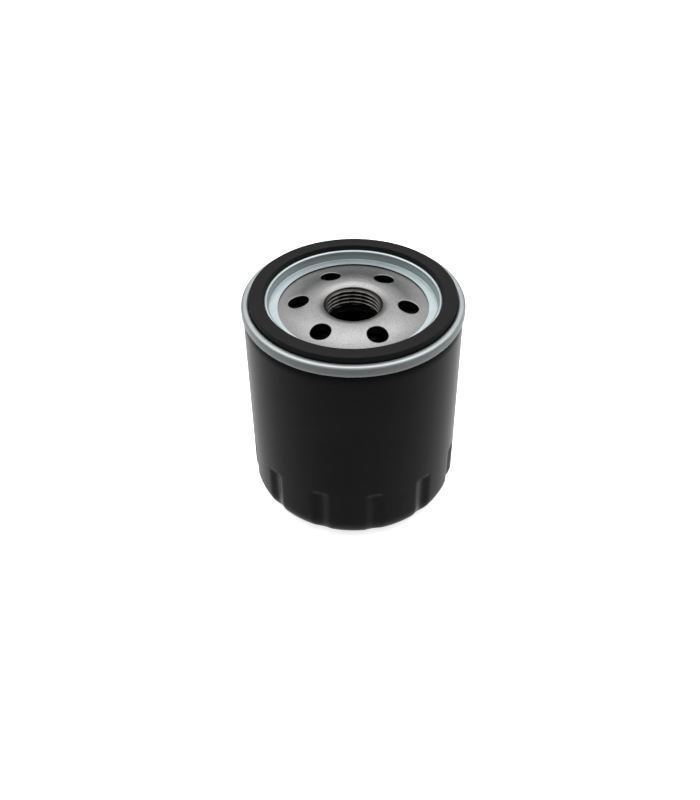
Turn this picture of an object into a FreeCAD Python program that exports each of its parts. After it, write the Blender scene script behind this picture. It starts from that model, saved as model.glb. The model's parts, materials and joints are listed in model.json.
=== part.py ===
import FreeCAD, Part
import math
import os

# Spin-on oil filter, millimetres. Z runs up the filter's axis: the closed end of the can
# stands at Z = 0 and the threaded, open end faces +Z.

HEIGHT = 84.0                   # closed end to the top of the sealing gasket
SEAM_RADIUS = 38.35             # widest point, round the rolled seam

# Can
CAN_RADIUS = 37.82
CAN_SHEET = 0.55
CAN_CORNER = 10.0               # outside radius between wall and closed end
FOOT_RADIUS = 23.5              # inside edge of the flat ring that the can stands on
PANEL_RADIUS = 21.0             # raised middle panel of the closed end
PANEL_RISE = 1.0

# Flutes for a cap wrench
FLUTE_COUNT = 12
FLUTE_START = 11.4              # degrees from +X to the first flute
FLUTE_DEPTH = 1.0
FLUTE_FLOOR = 2.0               # width of the flute's floor
FLUTE_MOUTH = 7.8               # width of the flute at the can's skin
FLUTE_TOP = 21.9                # where the floor starts to run out
FLUTE_RUNOUT = 2.6              # height over which it runs out to the skin
FLUTE_HEEL = 8.5                # where the floor starts to lean in along the can's corner
FLUTE_LEAN = 0.33               # inward run per unit of height below the heel

# Gasket and the zinc-plated retainer that holds it
GASKET_IN = 30.6
GASKET_OUT = 35.5
GASKET_HEIGHT = 5.0
GASKET_EDGE = 0.4
RETAINER_SHEET = 0.5
RETAINER_HOLE = 25.94           # sheared inner edge of the retainer's flange
RIB_RADIUS = 29.8               # middle of the pressed rib inside the gasket
RIB_WIDTH = 0.96                # between the middles of the rib's two walls
RIB_TOP = HEIGHT - 1.57
WALL_RADIUS = 35.94             # middle of the retainer's wall outside the gasket
CRIMP_DEPTH = 0.42              # how far the seam's edge is pressed into the can
RIM_FOLD = 0.9                  # from the can's wall to its folded rim, middle to middle
RIM_LENGTH = 2.8                # of the folded rim
RIM_GAP = 0.025                 # between the rim's fold and the lid above it
SEAM_TOP = HEIGHT - 2.05
SEAM_BOTTOM = HEIGHT - 6.08

# Tapping plate
PLATE_RADIUS = 35.5
PLATE_THICK = 3.0
PLATE_DOME = 1.92               # rise from the rim to the hub
PLATE_SWELL = 20.0              # radius over which the hub turns down into the slope
PLATE_DISH = 22.0               # radius over which the slope turns flat again
SWELL_CORNER = 15.97            # where the hub's and the slope's straight lines meet
DISH_CORNER = 22.3              # where the slope's and the rim's straight lines meet
HUB_CORNER = 11.35              # where the hub turns down to the bore
HUB_ROUND = 4.8
BORE_RIM = HEIGHT - 4.43
THREAD_MINOR = 9.188            # M20 x 1.5
THREAD_RIM = 10.1
THREAD_TOP = 78.65
THREAD_BOTTOM = 73.0
COLLAR_RADIUS = 12.4
COLLAR_END = 72.3
INLET_COUNT = 6
INLET_START = -5.0              # degrees from +X to the first inlet hole
INLET_CIRCLE = 18.94
INLET_RADIUS = 3.55
WELD_COUNT = 8
WELD_CIRCLE = 33.0
WELD_RADIUS = 1.5

# Filter element
ELEMENT_BOTTOM = 12.0
ELEMENT_TOP = 69.4
CAP_SHEET = 0.4
CAP_RADIUS = 31.6
CAP_RIM = 4.5                   # height of the end caps' turned rims
UPPER_CAP_HOLE = 11.0
LOWER_CAP_HOLE = 8.0
BEAD_THICK = 0.8
BEAD_IN = 13.6
BEAD_OUT = 30.8
TUBE_RADIUS = 15.0
TUBE_SHEET = 0.4
TUBE_HOLE_RADIUS = 2.2
TUBE_HOLE_COLUMNS = 8
TUBE_HOLE_ROWS = 6
TUBE_PLAIN = 11.0               # unpunched length at the tube's upper end
PLEATS = 44
PAPER = 0.6
PLEAT_IN = 16.0                 # middle of the paper at the inner folds
PLEAT_OUT = 30.4                # middle of the paper at the outer folds
FOLD_IN = 0.8                   # width of an inner fold
FOLD_OUT = 1.5                  # width of an outer fold
FOLD_TAB = 1.2                  # from the seam's plane to the first pleat, at the inner folds
TAB_END = 27.5                  # how far out the two joined paper ends reach
CLIP_SHEET = 0.3
CLIP_DEPTH = 5.0

# Anti-drainback valve
VALVE_GAP = 0.05
SLEEVE_RADIUS = 14.8
STEP_RADIUS = 10.6
SLEEVE_TOP = 74.6
SKIRT_THICK = 0.9
SKIRT_IN = 15.15
SKIRT_IN_Z = 72.2
SKIRT_OUT = 25.6

# Bypass valve
SEAT_HOLE = 5.5
SEAT_THICK = 0.8
SEAT_RADIUS = 13.2
CRIMP_HEIGHT = 0.85
CRIMP_WIDTH = 0.45
NECK_RADIUS = 7.9
NECK_WALL = 0.5
FLARE_RADIUS = 9.0
FLARE_THICK = 0.35
CAGE_SHEET = 0.4
CAGE_RADIUS = 8.8
CAGE_FLANGE = 12.7
CAGE_HEIGHT = 11.2
CAGE_WINDOWS = 4
CAGE_WINDOW_WIDTH = 6.0
CAGE_WINDOW_HEIGHT = 6.0
CAGE_WINDOW_SILL = 2.2
FACING_THICK = 0.98
FACING_IN = 4.5
FACING_OUT = 7.4
DISC_RADIUS = 7.6
DISC_THICK = 0.6
STEM_RADIUS = 2.0
STEM_FIT = 0.08                 # radial clearance in the cage's guide hole
STEM_HEAD_RADIUS = 3.2
STEM_HEAD = 0.7
STEM_LENGTH = 12.3
COIL_RADIUS = 4.6
COIL_WIRE = 0.45                # wire radius
COIL_TURNS = 5

# Spring under the element
LEAF_SHEET = 0.8
LEAF_RING_IN = 9.4
LEAF_RING_OUT = 14.5
LEAF_COUNT = 4
LEAF_WIDTH = 8.0
LEAF_FOOT = 27.0                # radius at which the legs stand in the can
LEAF_TOE = 30.0

PLATE_TOP = HEIGHT - GASKET_HEIGHT - RETAINER_SHEET
PLATE_UNDER = PLATE_TOP - PLATE_THICK
HUB_TOP = PLATE_TOP + PLATE_DOME
PAPER_BOTTOM = ELEMENT_BOTTOM + CAP_SHEET + BEAD_THICK
PAPER_TOP = ELEMENT_TOP - CAP_SHEET - BEAD_THICK
SEAT_FLOOR = ELEMENT_BOTTOM + CAP_SHEET
SEAT_TOP = SEAT_FLOOR + SEAT_THICK
DISC_BOTTOM = SEAT_TOP + 0.02 + FACING_THICK
DISC_TOP = DISC_BOTTOM + DISC_THICK
CAGE_TOP = SEAT_TOP + CAGE_HEIGHT
CAN_INSIDE = CAN_RADIUS - CAN_SHEET

AXIS = FreeCAD.Vector(0, 0, 1)
CENTRE = FreeCAD.Vector(0, 0, 0)


def section(spot):
    """A point of a turned section: radius and height."""
    return FreeCAD.Vector(spot[0], 0, spot[1])


def plan(spot):
    """A point seen from above: X and Y."""
    return FreeCAD.Vector(spot[0], spot[1], 0)


def rounded(before, at, after, radius):
    """Start, middle and end of the arc that rounds one corner, or the bare corner."""
    if not radius:
        return at, None, at
    back = (before - at).normalize()
    ahead = (after - at).normalize()
    half = back.getAngle(ahead) / 2
    run = radius / math.tan(half)
    middle = at + (back + ahead).normalize() * (radius / math.sin(half) - radius)
    return at + back * run, middle, at + ahead * run


def outline(points, place=section):
    """Closed face through (a, b) or (a, b, corner radius) points."""
    spots = [place(point) for point in points]
    radii = [point[2] if len(point) > 2 else 0 for point in points]
    corners = []
    for i in range(len(spots)):
        corners.append(rounded(spots[i - 1], spots[i], spots[(i + 1) % len(spots)], radii[i]))
    edges = []
    for i in range(len(corners)):
        start, middle, end = corners[i]
        following = corners[(i + 1) % len(corners)][0]
        if middle is not None:
            edges.append(Part.Arc(start, middle, end).toShape())
        if end.distanceToPoint(following) > 1e-6:
            edges.append(Part.LineSegment(end, following).toShape())
    return Part.Face(Part.Wire(edges))


def sheet(path, thickness, place=section):
    """Face of a bent strip; path gives its middle line as (a, b[, bend radius]) points."""
    half = thickness / 2
    headings = []
    for a, b in zip(path, path[1:]):
        length = math.hypot(b[0] - a[0], b[1] - a[1])
        headings.append(((b[0] - a[0]) / length, (b[1] - a[1]) / length))
    left = []
    right = []
    for i, point in enumerate(path):
        before = headings[max(i - 1, 0)]
        after = headings[min(i, len(headings) - 1)]
        share = 1 + before[0] * after[0] + before[1] * after[1]
        side = (-(before[1] + after[1]) / share * half, (before[0] + after[0]) / share * half)
        turn = before[0] * after[1] - before[1] * after[0]
        bend = point[2] if len(point) > 2 else 0
        swell = math.copysign(half, turn) if bend else 0
        left.append((point[0] + side[0], point[1] + side[1], bend - swell))
        right.append((point[0] - side[0], point[1] - side[1], bend + swell))
    return outline(left + right[::-1], place)


def turned(face):
    return face.revolve(CENTRE, AXIS, 360)


def ring(inside, outside, bottom, top):
    return turned(outline([(inside, bottom), (outside, bottom), (outside, top), (inside, top)]))


def around(shape, count, start=0.0):
    """Copies of a shape spread evenly round the axis."""
    copies = []
    for i in range(count):
        copy = shape.copy()
        copy.rotate(CENTRE, AXIS, start + 360.0 * i / count)
        copies.append(copy)
    return copies


def flute(skin):
    """Tapered notch that presses one flute into the can, grown by a skin on its inside."""
    slope = (FLUTE_MOUTH - FLUTE_FLOOR) / 2 / FLUTE_DEPTH
    lean = math.atan(1 / slope)
    depth = FLUTE_DEPTH + skin
    floor = FLUTE_FLOOR / 2 + skin * math.tan(lean / 2)
    reach = depth + 2.0
    wires = []
    foot = -1.0
    inset = -FLUTE_LEAN * (FLUTE_HEEL - foot)
    steps = ((foot, inset), (FLUTE_HEEL, 0.0), (FLUTE_TOP, 0.0), (FLUTE_TOP + FLUTE_RUNOUT, depth))
    for z, shift in steps:
        near = CAN_RADIUS - depth + shift
        far = near + reach
        mouth = floor + reach * slope
        corners = [(near, -floor), (far, -mouth), (far, mouth), (near, floor)]
        points = [FreeCAD.Vector(x, y, z) for x, y in corners]
        wires.append(Part.makePolygon(points + points[:1]))
    return Part.makeLoft(wires, True, True)


def housing_can():
    """Deep-drawn can, grooved under the seam's edge and folded in at the rim."""
    half = CAN_SHEET / 2
    wall = CAN_RADIUS - half
    fold = SEAM_TOP - RETAINER_SHEET - RIM_GAP - half
    groove = SEAM_BOTTOM + RETAINER_SHEET / 2
    path = [
        (0, PANEL_RISE + half),
        (PANEL_RADIUS, PANEL_RISE + half, 1.2),
        (FOOT_RADIUS, half, 1.2),
        (wall, half, CAN_CORNER - half),
        (wall, groove - 2.4, 15.0),
        (wall - CRIMP_DEPTH, groove - 0.3, 0.4),
        (wall - CRIMP_DEPTH, groove + 0.3, 0.4),
        (wall, groove + 1.1, 0.4),
        (wall, fold, 0.45),
        (wall - RIM_FOLD, fold, 0.45),
        (wall - RIM_FOLD, fold - RIM_LENGTH),
    ]
    can = turned(sheet(path, CAN_SHEET))
    inside = ring(FOOT_RADIUS, CAN_INSIDE + half, 0.0, FLUTE_TOP + 2 * FLUTE_RUNOUT)
    corner = turned(outline([
        (FOOT_RADIUS, half), (wall, half, CAN_CORNER - half), (wall, FLUTE_TOP + 2 * FLUTE_RUNOUT),
        (FOOT_RADIUS, FLUTE_TOP + 2 * FLUTE_RUNOUT)]))
    bump = flute(CAN_SHEET).common(inside).common(corner)
    can = can.fuse(around(bump, FLUTE_COUNT, FLUTE_START))
    return can.cut(around(flute(0.0), FLUTE_COUNT, FLUTE_START)).removeSplitter()


def gasket_retainer():
    """Zinc-plated lid: flange on the plate, rib, gasket channel and the rolled seam."""
    half = RETAINER_SHEET / 2
    floor = PLATE_TOP + half
    outer = SEAM_RADIUS - half
    path = [
        (RETAINER_HOLE, floor),
        (RIB_RADIUS - RIB_WIDTH / 2, floor, 0.5),
        (RIB_RADIUS - RIB_WIDTH / 2, RIB_TOP - half, 0.47),
        (RIB_RADIUS + RIB_WIDTH / 2, RIB_TOP - half, 0.47),
        (RIB_RADIUS + RIB_WIDTH / 2, floor, 0.4),
        (WALL_RADIUS, floor, 0.4),
        (WALL_RADIUS, SEAM_TOP - half, 0.6),
        (outer, SEAM_TOP - half, 0.9),
        (outer, SEAM_BOTTOM + 1.1, 2.0),
        (outer - CRIMP_DEPTH, SEAM_BOTTOM + 0.2),
    ]
    lid = turned(sheet(path, RETAINER_SHEET))
    spot = FreeCAD.Vector(WELD_CIRCLE, 0, PLATE_TOP - half)
    weld = Part.makeCylinder(WELD_RADIUS, 2 * RETAINER_SHEET, spot)
    return lid.cut(around(weld, WELD_COUNT))


def spot_welds():
    """Weld nuggets that join the retainer to the plate, under the gasket."""
    spot = FreeCAD.Vector(WELD_CIRCLE, 0, PLATE_TOP)
    nugget = Part.makeCylinder(WELD_RADIUS - 0.02, RETAINER_SHEET, spot)
    return Part.makeCompound(around(nugget, WELD_COUNT))


def seam_sealant():
    """Sealing compound between the retainer's wall and the can's folded rim."""
    inside = WALL_RADIUS + RETAINER_SHEET / 2 + 0.01
    outside = CAN_RADIUS - CAN_SHEET - RIM_FOLD - 0.01
    return ring(inside, outside, SEAM_TOP - 1.3 - RIM_LENGTH, SEAM_TOP - 1.6)


def base_plate():
    """Thick tapping plate: domed, drawn down into a threaded collar, with six inlet holes."""
    under_hub = PLATE_UNDER + PLATE_DOME
    profile = [
        (THREAD_MINOR, THREAD_BOTTOM),
        (THREAD_MINOR + 0.7, COLLAR_END),
        (COLLAR_RADIUS - 0.8, COLLAR_END),
        (COLLAR_RADIUS, COLLAR_END + 0.8),
        (COLLAR_RADIUS, under_hub, 1.2),
        (SWELL_CORNER + 0.4, under_hub, PLATE_SWELL - PLATE_THICK),
        (DISH_CORNER + 0.4, PLATE_UNDER, PLATE_DISH - PLATE_THICK),
        (PLATE_RADIUS, PLATE_UNDER, 0.5),
        (PLATE_RADIUS, PLATE_TOP, 0.5),
        (DISH_CORNER, PLATE_TOP, PLATE_DISH),
        (SWELL_CORNER, HUB_TOP, PLATE_SWELL),
        (HUB_CORNER, HUB_TOP, HUB_ROUND),
        (THREAD_RIM, BORE_RIM),
        (THREAD_MINOR, THREAD_TOP),
    ]
    spot = FreeCAD.Vector(INLET_CIRCLE, 0, PLATE_UNDER - 1)
    inlet = Part.makeCylinder(INLET_RADIUS, PLATE_THICK + 4, spot)
    return turned(outline(profile)).cut(around(inlet, INLET_COUNT, INLET_START))


def sealing_gasket():
    bottom = HEIGHT - GASKET_HEIGHT
    return turned(outline([
        (GASKET_IN, bottom, GASKET_EDGE), (GASKET_OUT, bottom, GASKET_EDGE),
        (GASKET_OUT, HEIGHT, GASKET_EDGE), (GASKET_IN, HEIGHT, GASKET_EDGE)]))


def drainback_sleeve():
    """Rubber sleeve round the plate's collar, squeezed between the collar and the element."""
    return turned(outline([
        (STEP_RADIUS, ELEMENT_TOP), (SLEEVE_RADIUS, ELEMENT_TOP), (SLEEVE_RADIUS, SLEEVE_TOP, 0.5),
        (COLLAR_RADIUS + VALVE_GAP, SLEEVE_TOP), (COLLAR_RADIUS + VALVE_GAP, COLLAR_END - 0.1),
        (STEP_RADIUS, COLLAR_END - 0.1)]))


def drainback_skirt():
    """Rubber skirt that closes the inlet holes from below and dips when oil flows in."""
    lip = PLATE_UNDER - VALVE_GAP
    half = SKIRT_THICK / 2
    return turned(outline([
        (SKIRT_IN, SKIRT_IN_Z - half), (SKIRT_OUT - 1.2, lip - 1.2, 3.0), (SKIRT_OUT, lip - 0.6, 0.3),
        (SKIRT_OUT, lip, 0.25), (SKIRT_OUT - 1.8, lip, 0.5), (SKIRT_IN, SKIRT_IN_Z + half)]))


def upper_end_cap():
    half = CAP_SHEET / 2
    path = [(UPPER_CAP_HOLE, ELEMENT_TOP - half), (CAP_RADIUS - half, ELEMENT_TOP - half, 0.5),
            (CAP_RADIUS - half, ELEMENT_TOP - CAP_RIM)]
    return turned(sheet(path, CAP_SHEET))


def lower_end_cap():
    half = CAP_SHEET / 2
    path = [(LOWER_CAP_HOLE, ELEMENT_BOTTOM + half), (CAP_RADIUS - half, ELEMENT_BOTTOM + half, 0.5),
            (CAP_RADIUS - half, ELEMENT_BOTTOM + CAP_RIM)]
    return turned(sheet(path, CAP_SHEET))


def upper_adhesive():
    """Cured bead that bonds the paper and the tube to the upper end cap."""
    return ring(BEAD_IN, BEAD_OUT, PAPER_TOP, PAPER_TOP + BEAD_THICK)


def lower_adhesive():
    """Cured bead that bonds the paper and the tube to the lower end cap."""
    return ring(BEAD_IN, BEAD_OUT, PAPER_BOTTOM - BEAD_THICK, PAPER_BOTTOM)


def centre_tube():
    """Perforated tube that holds the pleats up from inside."""
    tube = ring(TUBE_RADIUS - TUBE_SHEET, TUBE_RADIUS, PAPER_BOTTOM, PAPER_TOP)
    pitch = (PAPER_TOP - TUBE_PLAIN - PAPER_BOTTOM) / TUBE_HOLE_ROWS
    holes = []
    for row in range(TUBE_HOLE_ROWS):
        spot = FreeCAD.Vector(TUBE_RADIUS - 2, 0, PAPER_BOTTOM + pitch * (row + 0.5))
        hole = Part.makeCylinder(TUBE_HOLE_RADIUS, 4, spot, FreeCAD.Vector(1, 0, 0))
        shift = 180.0 / TUBE_HOLE_COLUMNS * (row % 2)
        holes.extend(around(hole, TUBE_HOLE_COLUMNS, shift))
    return tube.cut(holes)


def polar(radius, angle, sideways=0.0):
    """Point at a radius and an angle in radians, moved sideways along the turn."""
    return (radius * math.cos(angle) - sideways * math.sin(angle),
            radius * math.sin(angle) + sideways * math.cos(angle))


def pleated_media():
    """Pleated paper, a folded band whose two ends stand side by side at the seam."""
    step = 2 * math.pi / PLEATS
    gap = PAPER / 2 + 0.02
    path = [polar(TAB_END, 0, gap), polar(PLEAT_IN, 0, gap)]
    for pleat in range(PLEATS):
        if pleat:
            path.append(polar(PLEAT_IN, pleat * step, -FOLD_IN / 2))
            path.append(polar(PLEAT_IN, pleat * step, FOLD_IN / 2))
        else:
            path.append(polar(PLEAT_IN, 0, FOLD_TAB))
        path.append(polar(PLEAT_OUT, (pleat + 0.5) * step, -FOLD_OUT / 2))
        path.append(polar(PLEAT_OUT, (pleat + 0.5) * step, FOLD_OUT / 2))
    path.append(polar(PLEAT_IN, 0, -FOLD_TAB))
    path.extend([polar(PLEAT_IN, 0, -gap), polar(TAB_END, 0, -gap)])
    paper = sheet(path, PAPER, plan).extrude(FreeCAD.Vector(0, 0, PAPER_TOP - PAPER_BOTTOM))
    paper.translate(FreeCAD.Vector(0, 0, PAPER_BOTTOM))
    return paper


def media_seam_clip():
    """Folded metal strip that clamps the paper's two ends together."""
    side = PAPER + 0.04 + CLIP_SHEET / 2
    tip = TAB_END + 0.05 + CLIP_SHEET / 2
    path = [(tip - CLIP_DEPTH, side), (tip, side), (tip, -side), (tip - CLIP_DEPTH, -side)]
    height = PAPER_TOP - PAPER_BOTTOM - 1.0
    clip = sheet(path, CLIP_SHEET, plan).extrude(FreeCAD.Vector(0, 0, height))
    clip.translate(FreeCAD.Vector(0, 0, PAPER_BOTTOM + 0.5))
    return clip


def bypass_seat():
    """Valve seat, riveted into the lower end cap and crimped over the cage's flange."""
    flange = SEAT_TOP + CAGE_SHEET + 0.05
    return turned(outline([
        (SEAT_HOLE, SEAT_TOP - 0.35, 0.3), (NECK_RADIUS - NECK_WALL, SEAT_FLOOR, 0.3),
        (NECK_RADIUS - NECK_WALL, ELEMENT_BOTTOM - FLARE_THICK, 0.2),
        (FLARE_RADIUS, ELEMENT_BOTTOM - FLARE_THICK), (FLARE_RADIUS, ELEMENT_BOTTOM),
        (NECK_RADIUS, ELEMENT_BOTTOM), (NECK_RADIUS, SEAT_FLOOR), (SEAT_RADIUS, SEAT_FLOOR),
        (SEAT_RADIUS, SEAT_TOP + CRIMP_HEIGHT, 0.3),
        (SEAT_RADIUS - 2 * CRIMP_WIDTH, SEAT_TOP + CRIMP_HEIGHT),
        (SEAT_RADIUS - 2 * CRIMP_WIDTH, flange), (SEAT_RADIUS - CRIMP_WIDTH, flange),
        (SEAT_RADIUS - CRIMP_WIDTH, SEAT_TOP), (SEAT_HOLE, SEAT_TOP)]))


def bypass_cage():
    """Windowed cup that holds the valve's spring and guides its stem."""
    half = CAGE_SHEET / 2
    path = [(CAGE_FLANGE, SEAT_TOP + half), (CAGE_RADIUS - half, SEAT_TOP + half, 0.5),
            (CAGE_RADIUS - half, CAGE_TOP - half, 0.9), (STEM_RADIUS + STEM_FIT, CAGE_TOP - half)]
    cage = turned(sheet(path, CAGE_SHEET))
    spot = FreeCAD.Vector(0, -CAGE_WINDOW_WIDTH / 2, SEAT_TOP + CAGE_WINDOW_SILL)
    window = Part.makeBox(CAGE_RADIUS + 1, CAGE_WINDOW_WIDTH, CAGE_WINDOW_HEIGHT, spot)
    return cage.cut(around(window, CAGE_WINDOWS, 45.0))


def bypass_facing():
    """Rubber ring on the valve disc that closes on the seat."""
    return turned(outline([
        (FACING_IN, DISC_BOTTOM - FACING_THICK), (FACING_OUT, DISC_BOTTOM - FACING_THICK, 0.2),
        (FACING_OUT, DISC_BOTTOM), (FACING_IN, DISC_BOTTOM)]))


def bypass_disc():
    return turned(outline([
        (STEM_RADIUS + 0.02, DISC_BOTTOM), (DISC_RADIUS, DISC_BOTTOM, 0.15),
        (DISC_RADIUS, DISC_TOP, 0.15), (STEM_RADIUS + 0.02, DISC_TOP)]))


def bypass_stem():
    """Rivet through the valve disc, long enough to be guided by the cage."""
    return turned(outline([
        (0, DISC_BOTTOM - STEM_HEAD), (STEM_HEAD_RADIUS, DISC_BOTTOM - STEM_HEAD, 0.3),
        (STEM_HEAD_RADIUS, DISC_BOTTOM - 0.02), (STEM_RADIUS, DISC_BOTTOM - 0.02),
        (STEM_RADIUS, DISC_BOTTOM + STEM_LENGTH, 0.5), (0, DISC_BOTTOM + STEM_LENGTH)]))


def bypass_spring():
    """Coil spring between the valve disc and the cage's crown."""
    low = DISC_TOP + COIL_WIRE + 0.05
    high = CAGE_TOP - CAGE_SHEET - COIL_WIRE - 0.05
    rise = (high - low) / COIL_TURNS
    helix = Part.makeHelix(rise, high - low, COIL_RADIUS)
    helix.translate(FreeCAD.Vector(0, 0, low))
    along = FreeCAD.Vector(0, 2 * math.pi * COIL_RADIUS, rise)
    section_wire = Part.Wire(Part.makeCircle(COIL_WIRE, FreeCAD.Vector(COIL_RADIUS, 0, low), along))
    return Part.Wire(helix).makePipeShell([section_wire], True, True)


def support_spring():
    """Pressed leaf spring that holds the element up against the tapping plate."""
    half = LEAF_SHEET / 2
    top = ELEMENT_BOTTOM - 0.02 - half
    floor = CAN_SHEET + 0.02 + half
    leg = sheet([(LEAF_RING_OUT - 3, top), (LEAF_RING_OUT + 1, top, 3.0), (LEAF_FOOT, floor, 2.0),
                 (LEAF_TOE, floor + 1.2)], LEAF_SHEET).extrude(FreeCAD.Vector(0, LEAF_WIDTH, 0))
    leg.translate(FreeCAD.Vector(0, -LEAF_WIDTH / 2, 0))
    hub = ring(LEAF_RING_IN, LEAF_RING_OUT, top - half, top + half)
    return hub.fuse(around(leg, LEAF_COUNT, 45.0)).removeSplitter()


PIECES = [
    housing_can, gasket_retainer, spot_welds, seam_sealant, base_plate, sealing_gasket,
    drainback_sleeve, drainback_skirt, upper_end_cap, lower_end_cap, upper_adhesive,
    lower_adhesive, centre_tube, pleated_media, media_seam_clip, bypass_seat, bypass_cage,
    bypass_facing, bypass_disc, bypass_stem, bypass_spring, support_spring,
]

os.makedirs("parts", exist_ok=True)
for piece in PIECES:
    shape = piece()
    shape.exportStep("parts/" + piece.__name__ + ".step")
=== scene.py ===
import json
import math

import bmesh
import bpy
from mathutils import Matrix, Vector


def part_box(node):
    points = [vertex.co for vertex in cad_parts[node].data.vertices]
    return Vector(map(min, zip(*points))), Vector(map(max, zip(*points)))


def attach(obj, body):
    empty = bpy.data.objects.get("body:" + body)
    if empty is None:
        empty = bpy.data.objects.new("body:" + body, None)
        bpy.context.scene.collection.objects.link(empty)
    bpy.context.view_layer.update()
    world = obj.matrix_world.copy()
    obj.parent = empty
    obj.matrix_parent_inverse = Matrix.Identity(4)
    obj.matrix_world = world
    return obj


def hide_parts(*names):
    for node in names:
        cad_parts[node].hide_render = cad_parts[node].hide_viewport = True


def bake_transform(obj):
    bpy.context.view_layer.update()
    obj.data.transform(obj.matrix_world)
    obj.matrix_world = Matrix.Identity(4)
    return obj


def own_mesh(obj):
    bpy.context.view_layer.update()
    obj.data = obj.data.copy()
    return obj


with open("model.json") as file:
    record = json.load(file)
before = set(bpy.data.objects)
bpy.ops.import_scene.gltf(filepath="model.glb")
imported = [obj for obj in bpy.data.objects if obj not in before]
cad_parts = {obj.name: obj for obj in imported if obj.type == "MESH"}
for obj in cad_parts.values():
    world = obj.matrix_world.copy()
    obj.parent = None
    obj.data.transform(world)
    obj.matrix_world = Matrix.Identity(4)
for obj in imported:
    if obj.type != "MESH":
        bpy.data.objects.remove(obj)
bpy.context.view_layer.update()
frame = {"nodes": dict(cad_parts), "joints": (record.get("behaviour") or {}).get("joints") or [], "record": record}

# ---------------------------------------------------------------------------------------------
# Sizes, millimetres, from the CAD model. Z is up the filter's axis from the closed end.

MM = 0.001


def node_box(name):
    """Lowest and highest corners of a CAD node, in millimetres."""
    low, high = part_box(name)
    return low / MM, high / MM


MOUNTS = {mount["name"]: mount for mount in frame["record"]["mounts"]}
HEIGHT = node_box("sealing_gasket")[1].z
SEAM_RADIUS = node_box("gasket_retainer")[1].y
SEAM_BOTTOM = node_box("gasket_retainer")[0].z
THREAD_MINOR = MOUNTS["engine_thread"]["dims"]["r_mm"]
PLATE_RADIUS = node_box("base_plate")[1].y
COLLAR_END = node_box("base_plate")[0].z
GASKET_OUT = node_box("sealing_gasket")[1].y
GASKET_SEAT = node_box("sealing_gasket")[0].z
CAN_TOP = node_box("housing_can")[1].z

CAN_RADIUS = 37.82
CAN_SHEET = 0.55
CAN_CORNER = 10.0
CRIMP_DEPTH = 0.42
CRIMP_RUN = 2.4                 # height over which the can's wall leans in to its groove
CRIMP_FLAT = 0.3                # half the height of the groove's floor
HEM_RISE = 1.1                  # from the groove back out to the full radius
RIM_FOLD = 0.9                  # from the can's wall to its folded rim
RIM_LENGTH = 2.8
FOOT_RADIUS = 23.5
PANEL_RADIUS = 21.0
PANEL_RISE = 1.0
FLUTE_COUNT = 12
FLUTE_START = 11.4
FLUTE_DEPTH = 1.0
FLUTE_MOUTH = 4.1               # half the width of a flute at the can's skin
FLUTE_TOP = 21.9
FLUTE_RUNOUT = 2.6
FLUTE_FADE = math.radians(68)   # angle down the can's corner where a flute ends
FLUTE_COLUMN = 0.35             # between columns of vertices across a flute
FLUTE_COLUMNS = 12
LAND_COLUMNS = (5.4, 6.8, 8.3)  # columns between flutes, from the nearest flute's middle
RUNOUT_ROW = 0.2                # between rows of vertices where a flute runs out
RUNOUT_ROWS = 16
CORNER_ROW = 3.0                # between rows just above the can's corner
WALL_ROWS = [30.0, 50.0, 70.0]
WALL_SPAN = 20.0                # a longer step in height than this is the can's wall

RETAINER_SHEET = 0.5
RETAINER_HOLE = 25.94
RIB_RADIUS = 29.8
RIB_WIDTH = 0.96
RIB_TOP = HEIGHT - 1.57
WALL_RADIUS = 35.94
SEAM_TOP = HEIGHT - 2.05
GASKET_IN = 30.6
GASKET_EDGE = 0.4

PLATE_TOP = GASKET_SEAT - RETAINER_SHEET
PLATE_THICK = 3.0
PLATE_UNDER = PLATE_TOP - PLATE_THICK
PLATE_JOIN = 27.0               # radius where the sections of its two faces meet, underneath
COLLAR_RADIUS = 12.4
COLLAR_CHAMFER = 0.8
PLATE_SWELL = 20.0
PLATE_DISH = 22.0
SWELL_CORNER = 15.97
DISH_CORNER = 22.3
HUB_CORNER = 11.35
HUB_ROUND = 4.8
HUB_TOP = PLATE_TOP + 1.92
BORE_RIM = HEIGHT - 4.43
THREAD_MAJOR = 10.0
THREAD_PITCH = 1.5
THREAD_RIM = 10.1
THREAD_TOP = 78.65
THREAD_BOTTOM = 73.0
THREAD_CREST = 0.875            # shares of half a pitch, from the middle of the groove,
THREAD_ROOT = 0.25              # where the flank reaches the crest and the root
INLET_COUNT = 6
INLET_START = -5.0
INLET_CIRCLE = 18.94
INLET_RADIUS = 3.55
INLET_LAND = 1.0                # plate kept between a hole and the rows of the turned parts
EDGE_TOP = 0.3                  # rounding of a hole's upper edge
EDGE_UNDER = 0.12               # and of its lower edge
THREAD_ROWS = 14                # rows of vertices in one turn of the thread
SPOKE_STEPS = 9
PATCH_STEPS = 9
EDGE_STEPS = 4

SKIRT_THICK = 0.9
SKIRT_ROOT = 14.8               # radius where the skirt grows out of the sleeve
SKIRT_ROOT_Z = 72.2
SKIRT_STEP = 0.6                # between rows of vertices along the skirt
COIL_RADIUS = 4.6
COIL_WIRE = 0.45
COIL_TURNS = 5.6
COIL_DEAD_TURN = 0.9            # turns closed up at each end
COIL_STEPS = 40                 # rows of vertices in one turn
COIL_SIDES = 14

ARC_SAG = 0.004                 # how far a chord may lie off its arc
SAME_SPOT = 1e-5                # points closer than this are one point
TURN_STEPS = 240                # sides of the plate and the valve's skirt
FINE_STEPS = 360                # sides of the retainer and the gasket
SMOOTH_TO = 32.0                # degrees between faces that still look smooth
SMOOTH_PRESSED = 50.0           # the same on the can and the coil


# ---------------------------------------------------------------------------------------------
# Sections: lists of (radius, height) points

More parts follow.
